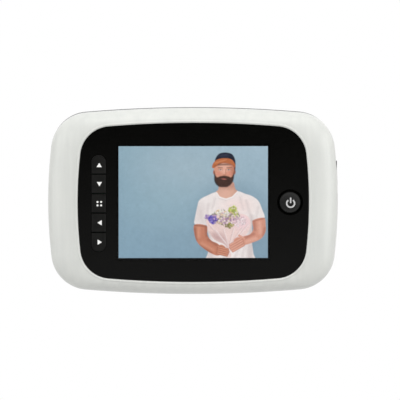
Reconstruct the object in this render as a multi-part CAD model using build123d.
from build123d import *
import math
import os

# Digital door peephole: a monitor hung on the room side of a door, and a camera outside it
# Millimetres. The origin is on the peephole's axis, in the plane of the door's inner face.
# +Y runs through the door to the outside, +Z is up, and the monitor faces the room along -Y.

# Shared by the shells: how near two faces lie to count as one plane, and how far a cut runs past one
same_plane = 0.01
past = 1.0

# Door and fixing
door_thickness = 45.0
pad_thickness = 0.8
plate_thickness = 1.2
plate_width = 80.0
plate_top = 22.0
plate_bottom = -13.0
plate_corner = 4.0
plate_hole_radius = 8.0
lift_travel = 5.0
hook_width = 6.0
hook_inset = 7.0
hook_below_top = 7.0
hook_above_bottom = 10.0
hook_lip = 4.0
hook_bend = 0.9
hook_clearance = 0.4

# Sleeve nut and camera tube
sleeve_radius = 6.8
sleeve_length = 30.0
nut_flange_radius = 13.0
nut_flange_thickness = 2.5
nut_chamfer = 0.6
sleeve_lead_in = 0.4
nut_slot_width = 2.0
nut_slot_collar = 1.2
nut_notches = 8
nut_notch_radius = 1.3
thread_pitch = 1.0
thread_depth = 0.45
thread_crest = 0.2
thread_clearance = 0.06
tube_radius = 5.75
tube_bore = 4.6
tube_length = 35.0
thread_runout = 5.0
tube_plain_tip = 0.8

# Camera head outside the door
gasket_thickness = 1.0
gasket_inset = 1.0
flange_radius = 14.0
flange_rim = 2.2
flange_chamfer = 0.5
flange_land = 1.5
head_depth = 9.6
head_nose_radius = 9.8
head_chamfer = 0.5
shoulder_steps = 8
head_cavity_radius = 6.6
head_seat_radius = 8.3
head_floor = 1.8
camera_board_radius = 6.4
camera_board_thickness = 1.0
camera_board_notch = 1.6
lens_holder_side = 8.6
lens_holder_base = 1.8
lens_holder_height = 3.8
lens_holder_radius = 4.4
lens_holder_floor = 0.8
lens_holder_corner = 0.8
lens_barrel_radius = 3.5
lens_barrel_height = 2.6
lens_barrel_proud = 0.6
lens_barrel_wall = 1.1
dome_radius = 6.2
dome_rim_radius = 7.2
dome_rim = 1.0
dome_rise = 3.4
dome_wall = 0.8
ring_clearance = 0.1
ring_chamfer = 0.4
lens_ring_depth = 2.2
lens_ring_proud = 0.8

# Outline of the monitor: the screen, the black panel's margins round it, and the silver rim's round that
screen_width = 70.08
screen_height = 52.56
rim_side = 13.95
rim_end = 6.4
case_top_arc = 600.0
case_side_arc = 225.0
case_corner = 17.7
panel_side = 19.16
panel_end = 11.07
panel_top_arc = 475.0
panel_side_arc = 208.0
panel_corner = 14.4
axis_above_centre = 14.5

# Case shells
door_gap = 0.8
case_wall = 2.0
rear_case_depth = 13.2
rear_edge_radius = 3.0
rear_inset = 0.2
crown_depth = 9.5
crown_sections = 7
frame_lip = 0.4
panel_gap = 0.12
panel_chamfer = 0.2
panel_ledge = 1.6
ledge_thickness = 1.2
ledge_overlap = 3.0
tongue_thickness = 0.8
tongue_root = 0.5
tongue_height = 1.6
tongue_clearance = 0.15

# Pocket behind the case for the plate and the sleeve nut
pocket_clearance = 1.0
pocket_depth_clearance = 1.4
pocket_floor = 1.6
pocket_wall = 1.4
well_clearance = 1.0
lead_room = 4.5
lead_window_width = 12.0
lead_window_height = 8.0
lead_drop = 11.0

# Batteries: AA cells in two rows of two
cell_diameter = 14.2
cell_length = 49.3
cell_nub_radius = 2.75
cell_nub_length = 1.2
cell_bevel = 0.6
cell_gap = 0.4
cell_clearance = 0.3
bay_wall = 1.4
bay_rail_wall = 3.2
bay_floor = 1.2
bay_wall_clearance = 0.8
bay_below_pocket = 2.6
divider_thickness = 1.2
contact_thickness = 0.35
contact_width = 9.0
contact_gap = 0.15
spring_room = 3.6
spring_height = 6.3

# Battery cover
cover_thickness = 1.4
cover_clearance = 0.15
cover_tongue = 1.0
cover_tongue_thickness = 0.7
cover_overlap = 1.0
cover_grips = 5
cover_grip_margin = 6.0
cover_grip_pitch = 2.2
cover_grip_length = 22.0
cover_grip_width = 0.9
cover_grip_depth = 0.4
rear_apron = 2.0

# Display and boards
panel_thickness = 2.0
window_border = 0.9
window_thickness = 1.2
window_ledge = 0.6
window_gap = 0.05
display_gasket_thickness = 0.3
gasket_margin = 0.3
module_side = 3.41
module_end = 5.67
module_depth = 3.2
module_sheet = 0.3
frame_margin = 0.1
glass_thickness = 1.4
module_gap = 0.1
foam_thickness = 0.8
foam_width = 6.0
foam_margin = 2.0
foam_offset = 19.0
board_thickness = 1.2
board_margin = 3.2
board_post_gap = 1.0
board_below = 31.0
board_corner = 2.0
board_gap = 1.6
ear_inset = 5.75
ear_above = 2.5
ear_below = 3.15

# Keys and power button
key_offset = 9.36
key_width = 6.5
key_height = 8.62
key_pitch = 9.12
key_drop = 0.43
key_gap = 0.25
key_proud = 0.3
key_end_radius = 3.1
key_edge = 0.25
key_lip = 0.5
key_lip_thickness = 0.6
key_lip_clearance = 0.1
key_travel = 0.4
switch_side = 6.0
switch_height = 2.2
plunger_radius = 1.5
plunger_clearance = 0.08
plunger_depth = 0.8
plunger_stroke_room = 0.2
power_offset = 10.36
power_radius = 4.87
power_gap = 0.25
power_countersink = 1.0
power_dish_depth = 0.25
power_lip = 0.7

# Sockets, memory card and chips on the main board
jack_height = -1.0
jack_width = 7.7
jack_depth = 9.2
jack_thickness = 3.9
jack_wall = 0.4
jack_tongue_thickness = 1.0
jack_tongue_width = 5.2
jack_recess = 1.1
jack_opening_clearance = 0.4
card_socket_gap = 0.7
card_width = 11.0
card_length = 15.0
card_thickness = 0.8
card_clearance = 0.15
card_step = 1.4
card_notch = 5.0
card_recess = 0.1
card_socket_width = 14.0
card_socket_depth = 14.5
card_socket_thickness = 1.9
card_stop = 1.0
chip_side = 12.0
chip_thickness = 1.2
chip_x = -24.0
chip_above = 12.0
memory_chip_x = -42.0
memory_chip_width = 8.0
memory_chip_length = 11.0
lead_socket_width = 9.0
lead_socket_height = 4.0
lead_socket_thickness = 2.6
plug_width = 8.0
plug_height = 2.4
plug_length = 3.6
plug_depth_in_socket = 1.2
ribbon_width = 6.0
ribbon_thickness = 0.3
ribbon_bend = 1.5
ribbon_standoff = 2.1

# Screws
case_screw_side = 10.55
case_screw_top = 12.75
case_screw_lower = -14.0
case_post_gap = 0.3
case_screw_radius = 1.3
case_screw_head_radius = 2.4
case_screw_head = 1.8
case_screw_length = 12.0
case_screw_recess = 6.0
case_post_radius = 3.0
board_screw_drop = 14.35
board_screw_radius = 0.95
board_screw_head_radius = 1.8
board_screw_head = 1.3
board_screw_length = 3.6
board_post_radius = 2.2
screw_clearance = 0.05
head_round = 0.4
driver_slot = 0.7
driver_margin = 0.8
driver_depth = 0.8

# Sizes that follow from the screen
panel_width = screen_width + 2 * panel_side
panel_height = screen_height + 2 * panel_end
case_width = panel_width + 2 * rim_side
case_height = panel_height + 2 * rim_end
module_width = screen_width + 2 * module_side
module_height = screen_height + 2 * module_end
key_x = -screen_width / 2 - key_offset
power_x = screen_width / 2 + power_offset

# Places along Y, worked out from the door towards the room
y_plate_back = -pad_thickness
y_plate_front = y_plate_back - plate_thickness
y_nut_front = y_plate_front - nut_flange_thickness
y_case_back = -door_gap
y_parting = y_case_back - rear_case_depth
y_pocket = y_plate_front - pocket_depth_clearance
y_well = y_nut_front - lead_room
y_channel = y_case_back - cover_thickness - cover_clearance
y_cell = y_channel - cell_clearance - cell_diameter / 2
y_bay = y_cell - cell_diameter / 2 - cell_clearance
y_bay_front = y_bay - bay_floor
y_board_back = y_bay_front - board_gap
y_board_front = y_board_back - board_thickness
y_module_back = y_board_front - foam_thickness
y_module_front = y_module_back - module_depth
y_panel_back = y_module_front - display_gasket_thickness
y_panel_front = y_panel_back - panel_thickness
y_frame_front = y_panel_front - frame_lip
y_key_back = y_panel_back + key_lip_clearance + key_lip_thickness
y_gasket = door_thickness
y_head = y_gasket + gasket_thickness
y_head_nose = y_head + head_depth

# Heights, from the peephole's axis
z_case = -axis_above_centre
z_pocket_top = plate_top + pocket_clearance
z_pocket_bottom = plate_bottom - lift_travel - pocket_clearance
z_bay_top = z_pocket_bottom - bay_below_pocket
z_bay_bottom = z_bay_top - 2 * cell_diameter - cell_gap - 2 * cell_clearance
z_cells = (z_bay_top + z_bay_bottom) / 2
z_cover_top = z_bay_top + cover_overlap
z_keys = z_case - key_drop
z_screen = z_case

# Bay width: two cells end to end with a divider, contacts and springs
cell_inner_end = divider_thickness / 2 + contact_thickness + contact_gap
cell_outer_end = cell_inner_end + cell_nub_length + cell_length
bay_half = cell_outer_end + spring_room

# Places across the case, from its centre
upper_screw = (case_width / 2 - case_screw_side, case_height / 2 - case_screw_top)
lower_screw = (bay_half + bay_rail_wall + case_post_gap + case_post_radius, case_screw_lower)
board_screw = (panel_width / 2, panel_height / 2 - board_screw_drop)
board_width = panel_width + 2 * board_margin
board_above = upper_screw[1] - case_post_radius - board_post_gap
card_height = board_screw[1] - board_screw_head_radius - card_socket_gap - card_socket_width / 2
ear_reach = case_width / 2 - ear_inset
ear_top = card_height + card_socket_width / 2 + ear_above
ear_bottom = jack_height - jack_width / 2 - ear_below


def block(x, y, z):
    """A box from its low and high corner along each axis."""
    size = [high - low for low, high in (x, y, z)]
    middle = [(low + high) / 2 for low, high in (x, y, z)]
    return Pos(*middle) * Box(*size)


def rod(x, z, radius, y):
    """A cylinder along Y between two depths."""
    low, high = y
    return Pos(x, (low + high) / 2, z) * Rot(90, 0, 0) * Cylinder(radius, high - low)


def plate(width, height, corner, centre, y):
    """A round-cornered plate that faces the room, between two depths."""
    low, high = y
    face = Plane(origin=(centre[0], high, centre[1]), x_dir=(1, 0, 0), z_dir=(0, -1, 0))
    return extrude(face * RectangleRounded(width, height, corner), high - low)


def edges_at(shape, y):
    """The edges that lie in one plane facing the room."""
    return shape.edges().filter_by_position(Axis.Y, y - same_plane, y + same_plane)


def turned(points):
    """A solid turned about the peephole's axis from (radius, y) points."""
    outline = Polyline(*[(radius, y, 0) for radius, y in points], close=True)
    return revolve(make_face(outline), Axis.Y)


def case_outline():
    return (case_width, case_height, case_top_arc, case_side_arc, case_corner)


def panel_outline():
    return (panel_width, panel_height, panel_top_arc, panel_side_arc, panel_corner)


def between(first, last, share):
    return tuple(a + (b - a) * share for a, b in zip(first, last))


def inset(outline, distance):
    """The parallel outline that lies this far inside."""
    width, height, top_arc, side_arc, corner = outline
    return (
        width - 2 * distance,
        height - 2 * distance,
        top_arc - distance,
        side_arc - distance,
        corner - distance,
    )


def face_of(outline, y):
    """An arc-sided, round-cornered face about the case's centre, at one depth."""
    width, height, top_arc, side_arc, corner = outline
    top_centre = Vector(0, height / 2 - top_arc)
    side_centre = Vector(width / 2 - side_arc, 0)
    to_side = side_centre - top_centre
    reach = top_arc - corner
    along = (reach**2 - (side_arc - corner) ** 2 + to_side.length**2) / (2 * to_side.length)
    across = math.sqrt(reach**2 - along**2)
    unit = to_side.normalized()
    corner_centre = top_centre + unit * along + Vector(unit.Y, -unit.X) * across
    top_end = top_centre + (corner_centre - top_centre).normalized() * top_arc
    side_end = side_centre + (corner_centre - side_centre).normalized() * side_arc
    bisector = (top_end - corner_centre).normalized() + (side_end - corner_centre).normalized()
    corner_mid = corner_centre + bisector.normalized() * corner

    def at(point, mirror_x, mirror_z):
        return (mirror_x * point.X, y, z_case + mirror_z * point.Y)

    top, side = Vector(0, height / 2), Vector(width / 2, 0)
    edges = [
        ThreePointArc(at(top_end, -1, 1), at(top, 1, 1), at(top_end, 1, 1)),
        ThreePointArc(at(top_end, 1, 1), at(corner_mid, 1, 1), at(side_end, 1, 1)),
        ThreePointArc(at(side_end, 1, 1), at(side, 1, 1), at(side_end, 1, -1)),
        ThreePointArc(at(side_end, 1, -1), at(corner_mid, 1, -1), at(top_end, 1, -1)),
        ThreePointArc(at(top_end, 1, -1), at(top, 1, -1), at(top_end, -1, -1)),
        ThreePointArc(at(top_end, -1, -1), at(corner_mid, -1, -1), at(side_end, -1, -1)),
        ThreePointArc(at(side_end, -1, -1), at(side, -1, 1), at(side_end, -1, 1)),
        ThreePointArc(at(side_end, -1, 1), at(corner_mid, -1, 1), at(top_end, -1, 1)),
    ]
    return Face(Wire(edges))


def prism(outline, y):
    low, high = y
    return extrude(face_of(outline, low), high - low, dir=(0, 1, 0))


def crowned(first, last, inward, y_front, y_back):
    """A domed rim: its outline grows along a quarter ellipse, then runs straight to the back."""
    sections = []
    for step in range(crown_sections):
        turn = math.radians(90 * step / (crown_sections - 1))
        outline = inset(between(first, last, math.sin(turn)), inward)
        sections.append(face_of(outline, y_front + crown_depth * (1 - math.cos(turn))))
    dome = loft(sections)
    return dome + prism(inset(last, inward), (y_front + crown_depth, y_back))


def case_screw_places():
    return [
        (side * x, z_case + z)
        for x, z in (upper_screw, lower_screw)
        for side in (-1, 1)
    ]


def board_screw_places():
    x, z = board_screw
    return [(i * x, z_case + j * z) for i in (-1, 1) for j in (-1, 1)]


def front_frame():
    """The silver rim round the face, with its ledge for the panel and posts for the screws."""
    opening = inset(panel_outline(), -panel_gap)
    outside = crowned(opening, case_outline(), 0, y_frame_front, y_parting)
    hollow = crowned(opening, case_outline(), case_wall, y_frame_front + case_wall, y_parting)
    shell = outside - hollow
    y_ledge_back = y_panel_back + ledge_thickness
    ledge = prism(inset(opening, -ledge_overlap), (y_panel_back, y_ledge_back))
    shell += ledge - prism(inset(opening, panel_ledge), (y_panel_back, y_ledge_back))
    for x, z in board_screw_places():
        shell += rod(x, z, board_post_radius, (y_panel_back, y_board_front))
    within = crowned(opening, case_outline(), case_wall / 2, y_frame_front + case_wall / 2, y_parting)
    for x, z in case_screw_places():
        shell += rod(x, z, case_post_radius, (y_frame_front, y_parting)) & within
    shell -= prism(opening, (y_frame_front - past, y_panel_back))
    for x, z in board_screw_places():
        pilot = board_screw_radius + screw_clearance
        shell -= rod(x, z, pilot, (y_board_front - board_screw_length, y_board_front))
    for x, z in case_screw_places():
        depth = case_screw_length + screw_clearance
        shell -= rod(x, z, case_screw_radius + screw_clearance, (y_screw_seat() - depth, y_parting))
    return shell - jack_opening() - card_opening()


def y_screw_seat():
    """Where the heads of the case's screws bear, inside the rear shell's posts."""
    return y_case_back - case_screw_recess


def jack_opening():
    gap = jack_opening_clearance
    z = z_case + jack_height
    return block(
        (ear_reach - jack_depth / 2, case_width),
        (y_board_back - gap, y_board_back + jack_thickness + gap),
        (z - jack_width / 2 - gap, z + jack_width / 2 + gap),
    )


def card_middle():
    """Depth of the memory card's middle plane, in the middle of its socket."""
    return y_board_back + card_socket_thickness / 2


def card_room_depth():
    half = card_thickness / 2 + card_clearance
    return (card_middle() - half, card_middle() + half)


def card_opening():
    half = card_width / 2 + card_clearance
    z = z_case + card_height
    return block((ear_reach, case_width), card_room_depth(), (z - half, z + half))


def channel(clearance):
    """The cover's T-shaped way, from the top of the bay down past the bottom edge."""
    z_low = z_case - case_height
    y_lip = y_case_back - cover_thickness + cover_tongue_thickness
    half = cover_half() + clearance
    wide = block(
        (-half - cover_tongue, half + cover_tongue),
        (y_case_back - cover_thickness - clearance, y_lip + clearance),
        (z_low, z_cover_top + clearance),
    )
    narrow = block((-half, half), (y_lip, y_case_back + past), (z_low, z_cover_top + clearance))
    return wide + narrow


def cover_half():
    return bay_half + (bay_rail_wall - cover_tongue) / 2


def rear_case():
    """The dark rear shell, with the pocket for the plate and the battery bay."""
    outline = inset(case_outline(), rear_inset)
    shell = prism(outline, (y_parting, y_case_back))
    body = fillet(edges_at(shell, y_case_back), rear_edge_radius)
    inner = inset(outline, case_wall)
    shell = body - prism(inner, (y_parting, y_case_back - case_wall))
    tongue = inset(case_outline(), case_wall + tongue_clearance)
    tongue_y = (y_parting - tongue_height, y_parting + tongue_height)
    root = prism(inset(outline, case_wall - tongue_root), (y_parting, y_parting + tongue_height))
    shell += prism(tongue, tongue_y) + root - prism(inset(tongue, tongue_thickness), tongue_y)

    # Pocket for the plate, with the well for the sleeve nut and the lead
    pocket_half = plate_width / 2 + pocket_clearance
    pocket_z = (z_pocket_bottom, z_pocket_top)
    y_floor_front = y_pocket - pocket_floor
    pocket = block((-pocket_half, pocket_half), (y_pocket, y_case_back + past), pocket_z)
    grown = (z_pocket_bottom - pocket_wall, z_pocket_top + pocket_wall)
    shell += block(
        (-pocket_half - pocket_wall, pocket_half + pocket_wall),
        (y_floor_front, y_case_back - case_wall),
        grown,
    )
    well_radius = nut_flange_radius + well_clearance
    shell += slot_rod(well_radius + pocket_wall, (y_well - pocket_wall, y_pocket))
    well = slot_rod(well_radius, (y_well, y_case_back))

    # Battery bay, its rails, and the apron below it that carries the cover
    tray = block(
        (-bay_half - bay_rail_wall, bay_half + bay_rail_wall),
        (y_bay_front, y_channel),
        (z_bay_bottom - bay_wall, z_bay_top + bay_wall),
    )
    apron = block(
        (-bay_half - bay_rail_wall, bay_half + bay_rail_wall),
        (y_channel - rear_apron, y_channel),
        (z_case - case_height / 2, z_bay_bottom),
    )
    shell += (tray + apron) & bay_room(outline, body)
    bay = block((-bay_half, bay_half), (y_bay, y_case_back + past), (z_bay_bottom, z_bay_top))
    divider = block(
        (-divider_thickness / 2, divider_thickness / 2),
        (y_bay, y_channel),
        (z_bay_bottom, z_bay_top),
    )
    shell = shell - pocket - well - lead_window() - bay + divider - channel(cover_clearance)
    for x, z in case_screw_places():
        shell += rod(x, z, case_post_radius, (y_parting, y_case_back - case_wall))
    for x, z in case_screw_places():
        shell -= rod(x, z, case_screw_radius + screw_clearance, (y_parting - past, y_case_back))
        head_hole = case_screw_head_radius + 2 * screw_clearance
        shell -= rod(x, z, head_hole, (y_screw_seat(), y_case_back + past))
    for x, z in hook_places():
        shell -= hook_slot(x, z)
    return shell


def bay_room(outline, body):
    """The room that the bay may fill: the shell's own body, and clear of the front frame's wall."""
    return body + prism(inset(outline, case_wall + bay_wall_clearance), (y_bay_front, y_parting))


def slot_rod(radius, y):
    """A well that lets the sleeve nut pass while the case is lifted off its hooks."""
    low, high = y
    return (
        rod(0, 0, radius, y)
        + rod(0, -lift_travel, radius, y)
        + block((-radius, radius), (low, high), (-lift_travel, 0))
    )


def lead_window():
    return block(
        (-lead_window_width / 2, lead_window_width / 2),
        (y_well - pocket_wall - past, y_well + past),
        (-lead_drop - lead_window_height / 2, -lead_drop + lead_window_height / 2),
    )


def hook_places():
    x = plate_width / 2 - hook_inset
    heights = (plate_top - hook_below_top, plate_bottom + hook_above_bottom)
    return [(side * x, z) for side in (-1, 1) for z in heights]


def y_hook_lip():
    """Room-side face of the case's pocket floor, which the hooks' lips hold."""
    return y_pocket - pocket_floor - hook_clearance


def hook_slot(x, z):
    gap = hook_clearance
    return block(
        (x - hook_width / 2 - gap, x + hook_width / 2 + gap),
        (y_pocket - pocket_floor - past, y_pocket + past),
        (z - plate_thickness - lift_travel - gap, z),
    )


def hook(x, z):
    """A tab bent out of the plate: an arm into the case, and a lip up behind its floor."""
    width = (x - hook_width / 2, x + hook_width / 2)
    y_tip = y_hook_lip() - plate_thickness
    arm = block(width, (y_tip, y_plate_back), (z - plate_thickness, z))
    lip = block(width, (y_tip, y_hook_lip()), (z - plate_thickness, z + hook_lip))
    across = (arm + lip).edges().filter_by(Axis.X)
    bend = min(across, key=lambda edge: edge.center().Y + edge.center().Z)
    return fillet(bend, hook_bend)


def mounting_plate():
    centre = (0, (plate_top + plate_bottom) / 2)
    height = plate_top - plate_bottom
    sheet = plate(plate_width, height, plate_corner, centre, (y_plate_front, y_plate_back))
    sheet -= rod(0, 0, plate_hole_radius, (y_plate_front - past, past))
    unfolded = y_plate_front - y_hook_lip() + hook_lip
    for x, z in hook_places():
        sheet -= block(
            (x - hook_width / 2 - hook_clearance, x + hook_width / 2 + hook_clearance),
            (y_plate_front - past, y_plate_back + past),
            (z - plate_thickness - unfolded, z - plate_thickness),
        )
        sheet += hook(x, z)
    return sheet


def adhesive_pad():
    centre = (0, (plate_top + plate_bottom) / 2)
    height = plate_top - plate_bottom
    pad = plate(plate_width, height, plate_corner, centre, (y_plate_back, 0))
    pad -= rod(0, 0, plate_hole_radius, (y_plate_back - past, past))
    return pad


def sleeve_nut():
    """The flanged, internally threaded sleeve that draws the camera against the door."""
    bore = tube_radius + thread_clearance
    y_end = y_plate_front + sleeve_length
    nut = turned(
        [
            (bore, y_nut_front),
            (nut_flange_radius - nut_chamfer, y_nut_front),
            (nut_flange_radius, y_nut_front + nut_chamfer),
            (nut_flange_radius, y_plate_front),
            (sleeve_radius, y_plate_front),
            (sleeve_radius, y_end - sleeve_lead_in),
            (sleeve_radius - sleeve_lead_in, y_end),
            (bore, y_end),
        ]
    )
    for i in range(nut_notches):
        turn = 2 * math.pi * i / nut_notches
        x, z = nut_flange_radius * math.cos(turn), nut_flange_radius * math.sin(turn)
        nut -= rod(x, z, nut_notch_radius, (y_nut_front - past, y_plate_front + past))
    slot_y = (y_nut_front - past, y_nut_front + nut_flange_thickness / 2)
    reach, half = nut_flange_radius, nut_slot_width / 2
    return nut - (block((-reach, reach), slot_y, (-half, half)) - rod(0, 0, bore + nut_slot_collar, slot_y))


def camera_head():
    """The outdoor flange and domed nose, turned in one piece with the threaded tube."""
    y_tip = y_head - tube_length
    root = tube_radius - thread_depth
    points = [(tube_bore, y_tip), (root, y_tip), (root, y_tip + tube_plain_tip)]
    turns = int((tube_length - thread_runout - tube_plain_tip) / thread_pitch)
    for i in range(turns):
        y = y_tip + tube_plain_tip + i * thread_pitch
        points += [
            (tube_radius, y + (1 - thread_crest) / 2 * thread_pitch),
            (tube_radius, y + (1 + thread_crest) / 2 * thread_pitch),
            (root, y + thread_pitch),
        ]
    y_run = y_tip + tube_plain_tip + turns * thread_pitch
    points += [(tube_radius, y_run + thread_pitch), (tube_radius, y_head), (flange_radius, y_head)]
    y_rim = y_head + flange_rim
    points += [(flange_radius, y_rim - flange_chamfer), (flange_radius - flange_chamfer, y_rim)]
    reach = flange_radius - flange_land - head_nose_radius
    rise = head_depth - flange_rim - head_chamfer
    for i in range(shoulder_steps + 1):
        turn = math.radians(90 * i / shoulder_steps)
        x = head_nose_radius + reach * (1 - math.sin(turn))
        points.append((x, y_rim + rise * (1 - math.cos(turn))))
    points += [(head_nose_radius - head_chamfer, y_head_nose)]
    points += [(head_seat_radius, y_head_nose), (head_seat_radius, y_dome())]
    y_floor = y_head + head_floor
    points += [(head_cavity_radius, y_dome()), (head_cavity_radius, y_floor), (tube_bore, y_floor)]
    return turned(points)


def door_gasket():
    ring = rod(0, 0, flange_radius - gasket_inset, (y_gasket, y_head))
    return ring - rod(0, 0, plate_hole_radius, (y_gasket - past, y_head + past))


def y_camera_board():
    return y_head + head_floor


def camera_board():
    y = (y_camera_board(), y_camera_board() + camera_board_thickness)
    board = rod(0, 0, camera_board_radius, y)
    notch = (camera_board_radius - camera_board_notch, camera_board_radius + past)
    half = camera_board_notch / 2
    return board - block((-half, half), (y[0] - past, y[1] + past), notch)


def lens_holder():
    y = y_camera_board() + camera_board_thickness
    half = lens_holder_side / 2
    base = block((-half, half), (y, y + lens_holder_base), (-half, half))
    base = fillet(base.edges().filter_by(Axis.Y), lens_holder_corner)
    holder = base + rod(0, 0, lens_holder_radius, (y, y + lens_holder_height))
    bore = lens_barrel_radius + thread_clearance
    return holder - rod(0, 0, bore, (y + lens_holder_floor, y + lens_holder_height + past))


def lens_barrel():
    y_front = y_camera_board() + camera_board_thickness + lens_holder_height + lens_barrel_proud
    barrel = rod(0, 0, lens_barrel_radius, (y_front - lens_barrel_height, y_front))
    mouth = rod(0, 0, lens_barrel_radius - lens_barrel_wall, (y_front - lens_barrel_proud, y_front + past))
    return barrel - mouth


def y_dome():
    return y_head_nose + lens_ring_proud - lens_ring_depth


def dome_lens():
    """The wide-angle front glass: a cap of a sphere on a short rim, hollow behind."""
    back = y_dome()
    rim = back + dome_rim
    top = rim + dome_rise
    outer = (dome_radius**2 + dome_rise**2) / (2 * dome_rise)
    inner = outer - dome_wall
    middle = top - outer
    inner_edge = math.sqrt(inner**2 - (middle - back) ** 2)
    half_outer = math.asin(dome_radius / outer) / 2
    half_inner = math.asin(inner_edge / inner) / 2
    outside = (outer * math.sin(half_outer), middle + outer * math.cos(half_outer))
    inside = (inner * math.sin(half_inner), middle + inner * math.cos(half_inner))
    section = [
        Polyline((inner_edge, back), (dome_rim_radius, back), (dome_rim_radius, rim), (dome_radius, rim)),
        ThreePointArc((dome_radius, rim), outside, (0, top)),
        Line((0, top), (0, top - dome_wall)),
        ThreePointArc((0, top - dome_wall), inside, (inner_edge, back)),
    ]
    return revolve(make_face(section), Axis.Y)


def lens_ring():
    y = y_dome()
    outer = head_seat_radius - ring_clearance
    inner = dome_radius + ring_clearance
    round_rim = dome_rim_radius + ring_clearance
    over_rim = y + dome_rim + ring_clearance
    front = y + lens_ring_depth
    return turned(
        [
            (round_rim, y),
            (outer, y),
            (outer, front - ring_chamfer),
            (outer - ring_chamfer, front),
            (inner + ring_chamfer, front),
            (inner, front - ring_chamfer),
            (inner, over_rim),
            (round_rim, over_rim),
        ]
    )


def camera_ribbon():
    """The flat lead from the camera, through the sleeve, to its plug on the main board."""
    y_turn = y_nut_front - ribbon_standoff
    y_end = y_plug() + plug_length
    route = FilletPolyline(
        (y_camera_board(), 0), (y_turn, 0), (y_turn, -lead_drop), (y_end, -lead_drop), radius=ribbon_bend
    )
    strip = Plane.YZ * trace(route, ribbon_thickness)
    return extrude(strip, ribbon_width / 2, both=True)


def y_plug():
    """Room-side end of the lead's plug, down in its socket."""
    return y_board_back + lead_socket_thickness - plug_depth_in_socket


def lead_plug():
    return block(
        (-plug_width / 2, plug_width / 2),
        (y_plug(), y_plug() + plug_length),
        (-lead_drop - plug_height / 2, -lead_drop + plug_height / 2),
    )


def lead_socket():
    half_x, half_z = lead_socket_width / 2, lead_socket_height / 2
    z = (-lead_drop - half_z, -lead_drop + half_z)
    y = (y_board_back, y_board_back + lead_socket_thickness)
    body = block((-half_x, half_x), y, z)
    gap = plug_width / 2 + screw_clearance
    rise = plug_height / 2 + screw_clearance
    return body - block((-gap, gap), (y_plug(), y[1] + past), (-lead_drop - rise, -lead_drop + rise))


def face_panel():
    """The glossy black face, cut for the display window, the keys and the power button."""
    panel = prism(panel_outline(), (y_panel_front, y_panel_back))
    panel = chamfer(edges_at(panel, y_panel_front), panel_chamfer)
    y_window = y_panel_front + window_thickness
    width, height = window_size(window_gap)
    panel -= block_on_screen(width, height, (y_panel_front - past, y_window))
    width, height = window_size(-window_ledge)
    panel -= block_on_screen(width, height, (y_window - past, y_panel_back + past))
    slot_height = column_height() + 2 * key_gap
    slot_width = key_width + 2 * key_gap
    corner = key_end_radius + key_gap
    through = (y_panel_front - past, y_panel_back + past)
    panel -= plate(slot_width, slot_height, corner, (key_x, z_keys), through)
    hole = power_radius + power_gap
    panel -= rod(power_x, z_case, hole, through)
    sink = Cone(hole, hole + power_countersink, power_countersink)
    panel -= Pos(power_x, y_panel_front + power_countersink / 2, z_case) * Rot(90, 0, 0) * sink
    return panel


def window_size(grow):
    border = 2 * (window_border + grow)
    return screen_width + border, screen_height + border


def block_on_screen(width, height, y):
    return block((-width / 2, width / 2), y, (z_screen - height / 2, z_screen + height / 2))


def display_window():
    width, height = window_size(0)
    return block_on_screen(width, height, (y_panel_front, y_panel_front + window_thickness))


def display_gasket():
    y = (y_panel_back, y_module_front)
    ring = block_on_screen(module_width, module_height, (y[0], y[1]))
    width, height = window_size(gasket_margin)
    return ring - block_on_screen(width, height, (y[0] - past, y[1] + past))


def display_frame():
    """The folded steel case of the display module."""
    case = block_on_screen(module_width, module_height, (y_module_front, y_module_back))
    sheet = 2 * module_sheet
    inside = (y_module_front + module_sheet, y_module_back - module_sheet)
    case -= block_on_screen(module_width - sheet, module_height - sheet, inside)
    width, height = window_size(frame_margin)
    return case - block_on_screen(width, height, (y_module_front - past, inside[1]))


def module_inside():
    trim = 2 * (module_sheet + module_gap)
    return module_width - trim, module_height - trim


def display_glass():
    y = y_module_front + module_sheet
    return block_on_screen(*module_inside(), (y, y + glass_thickness))


def backlight():
    y = y_module_front + module_sheet + glass_thickness
    return block_on_screen(*module_inside(), (y, y_module_back - module_sheet))


def display_foam():
    """Two strips of foam tape that hold the display module to the main board."""
    z = (z_case - board_below + foam_margin, z_case + board_above - foam_margin)
    y = (y_module_back, y_board_front)
    x = foam_offset
    strips = [block((side * x - foam_width / 2, side * x + foam_width / 2), y, z) for side in (-1, 1)]
    return Part() + strips


def main_board():
    centre = (0, z_case + (board_above - board_below) / 2)
    y = (y_board_front, y_board_back)
    board = plate(board_width, board_above + board_below, board_corner, centre, y)
    board += block((0, ear_reach), y, (z_case + ear_bottom, z_case + ear_top))
    for x, z in board_screw_places():
        board -= rod(x, z, board_screw_radius + screw_clearance, (y[0] - past, y[1] + past))
    return board


def processor():
    z = z_case + chip_above
    half = chip_side / 2
    y = (y_board_back, y_board_back + chip_thickness)
    return block((chip_x - half, chip_x + half), y, (z - half, z + half))


def memory_chip():
    z = z_case + chip_above
    x = memory_chip_x
    y = (y_board_back, y_board_back + chip_thickness)
    return block(
        (x - memory_chip_width / 2, x + memory_chip_width / 2),
        y,
        (z - memory_chip_length / 2, z + memory_chip_length / 2),
    )


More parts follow.
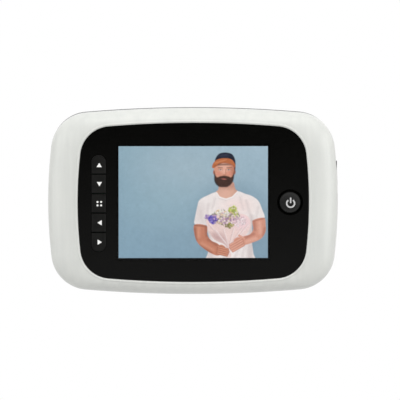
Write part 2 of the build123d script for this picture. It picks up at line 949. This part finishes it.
def charging_socket():
    """A small five-pin socket: a folded steel shell round a plastic tongue."""
    z = z_case + jack_height
    x_mouth = case_width / 2 - jack_recess
    x_back = x_mouth - jack_depth
    y = (y_board_back, y_board_back + jack_thickness)
    shell = block((x_back, x_mouth), y, (z - jack_width / 2, z + jack_width / 2))
    hollow = block(
        (x_back + jack_wall, x_mouth + past),
        (y[0] + jack_wall, y[1] - jack_wall),
        (z - jack_width / 2 + jack_wall, z + jack_width / 2 - jack_wall),
    )
    middle = (y[0] + y[1]) / 2
    half_y, half_z = jack_tongue_thickness / 2, jack_tongue_width / 2
    tongue_y, tongue_z = (middle - half_y, middle + half_y), (z - half_z, z + half_z)
    tongue = block((x_back, x_mouth - jack_recess), tongue_y, tongue_z)
    return shell - hollow + tongue


def card_end():
    """Where the card's outer end is flush with the case's curved side."""
    outer = case_width / 2
    return outer - card_height**2 / (2 * case_side_arc) - card_recess


def memory_card():
    z = z_case + card_height
    half = card_width / 2
    x_out = card_end()
    x_in = x_out - card_length
    y = (card_middle() - card_thickness / 2, card_middle() + card_thickness / 2)
    card = block((x_in, x_out), y, (z - half, z + half))
    notch_x, notch_z = (x_in - past, x_in + card_notch), (z + half - card_step, z + half + past)
    return card - block(notch_x, (y[0] - past, y[1] + past), notch_z)


def card_socket():
    z = z_case + card_height
    half = card_socket_width / 2
    x_in = card_end() - card_length - card_stop
    y = (y_board_back, y_board_back + card_socket_thickness)
    body = block((x_in, min(x_in + card_socket_depth, ear_reach)), y, (z - half, z + half))
    reach = card_width / 2 + card_clearance
    room = block(
        (card_end() - card_length - card_clearance, case_width),
        card_room_depth(),
        (z - reach, z + reach),
    )
    return body - room


def key_names():
    return ("up", "down", "menu", "left", "right")


def key_middle(i):
    return z_keys + ((len(key_names()) - 1) / 2 - i) * key_pitch


def column_height():
    return (len(key_names()) - 1) * key_pitch + key_height


def key_body(i):
    """One key's outline: the end keys are rounded like the ends of their slot."""
    y = (y_panel_front - key_proud, y_key_back)
    column = plate(key_width, column_height(), key_end_radius, (key_x, z_keys), y)
    z = key_middle(i)
    own = block((key_x - key_width, key_x + key_width), y, (z - key_height / 2, z + key_height / 2))
    return column & own


def key(i):
    """A key cap that stands through the panel, with a lip behind it."""
    cap = key_body(i)
    front = cap.faces().sort_by(Axis.Y)[0]
    cap = chamfer(front.edges(), key_edge)
    z = key_middle(i)
    half_x = key_width / 2 + key_gap + key_lip
    half_z = key_pitch / 2 - key_gap / 2
    y = (y_key_back - key_lip_thickness, y_key_back)
    return cap + block((key_x - half_x, key_x + half_x), y, (z - half_z, z + half_z))


def switch_top():
    return y_board_front - switch_height


def switch_base(x, z):
    """A tact switch's fixed body on the main board, with the hole that its plunger sinks into."""
    half = switch_side / 2
    body = block((x - half, x + half), (switch_top(), y_board_front), (z - half, z + half))
    depth = plunger_foot() + key_travel + plunger_stroke_room
    return body - rod(x, z, plunger_radius + plunger_clearance, (switch_top() - past, depth))


def plunger_foot():
    return switch_top() + plunger_depth


def plunger(x, z):
    return rod(x, z, plunger_radius, (y_key_back, plunger_foot()))


def power_button():
    """A round cap with a shallow dished face, and a lip behind the panel."""
    cap = rod(power_x, z_case, power_radius, (y_panel_front - key_proud, y_key_back))
    rim = cap.faces().sort_by(Axis.Y)[0].edges()
    cap = fillet(rim, key_edge)
    face = power_radius - 2 * key_edge
    curve = (face**2 + power_dish_depth**2) / (2 * power_dish_depth)
    y_dish = y_panel_front - key_proud + power_dish_depth - curve
    cap -= Pos(power_x, y_dish, z_case) * Sphere(curve)
    lip = power_radius + power_gap + power_lip
    return cap + rod(power_x, z_case, lip, (y_key_back - key_lip_thickness, y_key_back))


def screw(x, z, y_seat, radius, head_radius, head, length):
    """A cross-slotted pan head screw, driven towards the room."""
    body = rod(x, z, radius, (y_seat - length, y_seat)) + rod(x, z, head_radius, (y_seat, y_seat + head))
    body = fillet(body.faces().sort_by(Axis.Y)[-1].edges(), head_round)
    reach = head_radius - driver_margin
    depth = (y_seat + head - driver_depth, y_seat + head + past)
    body -= block((x - reach, x + reach), depth, (z - driver_slot / 2, z + driver_slot / 2))
    body -= block((x - driver_slot / 2, x + driver_slot / 2), depth, (z - reach, z + reach))
    return body


def case_screws():
    size = (case_screw_radius, case_screw_head_radius, case_screw_head, case_screw_length)
    return Part() + [screw(x, z, y_screw_seat(), *size) for x, z in case_screw_places()]


def board_screws():
    length = board_screw_length + board_thickness - screw_clearance
    size = (board_screw_radius, board_screw_head_radius, board_screw_head, length)
    return Part() + [screw(x, z, y_board_back, *size) for x, z in board_screw_places()]


def cell_places():
    """(side, height) of the four cells; side is -1 or 1 of the divider."""
    rise = (cell_diameter + cell_gap) / 2
    return [(side, z_cells + row * rise) for row in (1, -1) for side in (-1, 1)]


def battery(side, z):
    """An AA cell lying along X, its nub towards the divider."""
    body_start = cell_inner_end + cell_nub_length
    radius = cell_diameter / 2
    points = [
        (0, cell_inner_end),
        (cell_nub_radius, cell_inner_end),
        (cell_nub_radius, body_start),
        (radius - cell_bevel, body_start),
        (radius, body_start + cell_bevel),
        (radius, cell_outer_end - cell_bevel),
        (radius - cell_bevel, cell_outer_end),
        (0, cell_outer_end),
    ]
    cell = revolve(make_face(Polyline(*[(x, r, 0) for r, x in points], close=True)), Axis.X)
    if side < 0:
        cell = mirror(cell, Plane.YZ)
    return Pos(0, y_cell, z) * cell


def battery_plates():
    """The flat contacts on the divider, one at each cell's nub."""
    plates = []
    for side, z in cell_places():
        inner = divider_thickness / 2
        x = sorted((side * inner, side * (inner + contact_thickness)))
        half = contact_width / 2
        plates.append(block(x, (y_cell - half, y_cell + half), (z - half, z + half)))
    return Part() + plates


def battery_springs():
    """Bowed leaf springs that press each cell's flat end."""
    springs = []
    for side, z in cell_places():
        low, high = y_cell - contact_width / 2, y_cell + contact_width / 2
        tip = side * (cell_outer_end + contact_gap)
        wall = side * bay_half
        sheet = side * contact_thickness
        strip = [
            ThreePointArc((wall - sheet, low), (tip, y_cell), (wall - sheet, high)),
            Line((wall - sheet, high), (wall, high)),
            ThreePointArc((wall, high), (tip + sheet, y_cell), (wall, low)),
            Line((wall, low), (wall - sheet, low)),
        ]
        leaf = extrude(make_face(strip), spring_height / 2, both=True)
        springs.append(Pos(0, 0, z) * leaf)
    return Part() + springs


def battery_cover():
    """The sliding cover of the battery bay, with finger grips near its lower edge."""
    gap = cover_clearance
    half = cover_half()
    y_inner = y_case_back - cover_thickness
    y_lip = y_inner + cover_tongue_thickness
    z = (z_case - case_height, z_cover_top)
    main = block((-half, half), (y_inner, y_case_back), z)
    tongues = block((-half - cover_tongue + gap, half + cover_tongue - gap), (y_inner, y_lip), z)
    outline = inset(case_outline(), rear_inset)
    limit = prism(outline, (y_parting, y_case_back))
    limit = fillet(edges_at(limit, y_case_back), rear_edge_radius)
    cover = (main + tongues) & limit
    z_grip = z_cover_top - cover_grip_margin
    for i in range(cover_grips):
        z_low = z_grip - i * cover_grip_pitch
        cover -= block(
            (-cover_grip_length / 2, cover_grip_length / 2),
            (y_case_back - cover_grip_depth, y_case_back + past),
            (z_low - cover_grip_width, z_low),
        )
    return cover


def all_parts():
    parts = {
        "mounting_plate": mounting_plate(),
        "adhesive_pad": adhesive_pad(),
        "sleeve_nut": sleeve_nut(),
        "camera_head": camera_head(),
        "door_gasket": door_gasket(),
        "camera_board": camera_board(),
        "lens_holder": lens_holder(),
        "lens_barrel": lens_barrel(),
        "dome_lens": dome_lens(),
        "lens_ring": lens_ring(),
        "camera_ribbon": camera_ribbon(),
        "lead_plug": lead_plug(),
        "lead_socket": lead_socket(),
        "front_frame": front_frame(),
        "rear_case": rear_case(),
        "face_panel": face_panel(),
        "display_window": display_window(),
        "display_gasket": display_gasket(),
        "display_frame": display_frame(),
        "display_glass": display_glass(),
        "backlight": backlight(),
        "display_foam": display_foam(),
        "main_board": main_board(),
        "processor": processor(),
        "memory_chip": memory_chip(),
        "charging_socket": charging_socket(),
        "card_socket": card_socket(),
        "memory_card": memory_card(),
        "case_screws": case_screws(),
        "board_screws": board_screws(),
        "battery_plates": battery_plates(),
        "battery_springs": battery_springs(),
        "battery_cover": battery_cover(),
        "power_button": power_button(),
        "power_plunger": plunger(power_x, z_case),
        "power_switch": switch_base(power_x, z_case),
    }
    bases = []
    for i, name in enumerate(key_names()):
        parts[f"key_{name}"] = key(i)
        parts[f"plunger_{name}"] = plunger(key_x, key_middle(i))
        bases.append(switch_base(key_x, key_middle(i)))
    parts["key_switches"] = Part() + bases
    for i, (side, z) in enumerate(cell_places(), 1):
        parts[f"battery_{i}"] = battery(side, z)
    return parts


os.makedirs("parts", exist_ok=True)
for name, shape in all_parts().items():
    export_step(shape, f"parts/{name}.step")
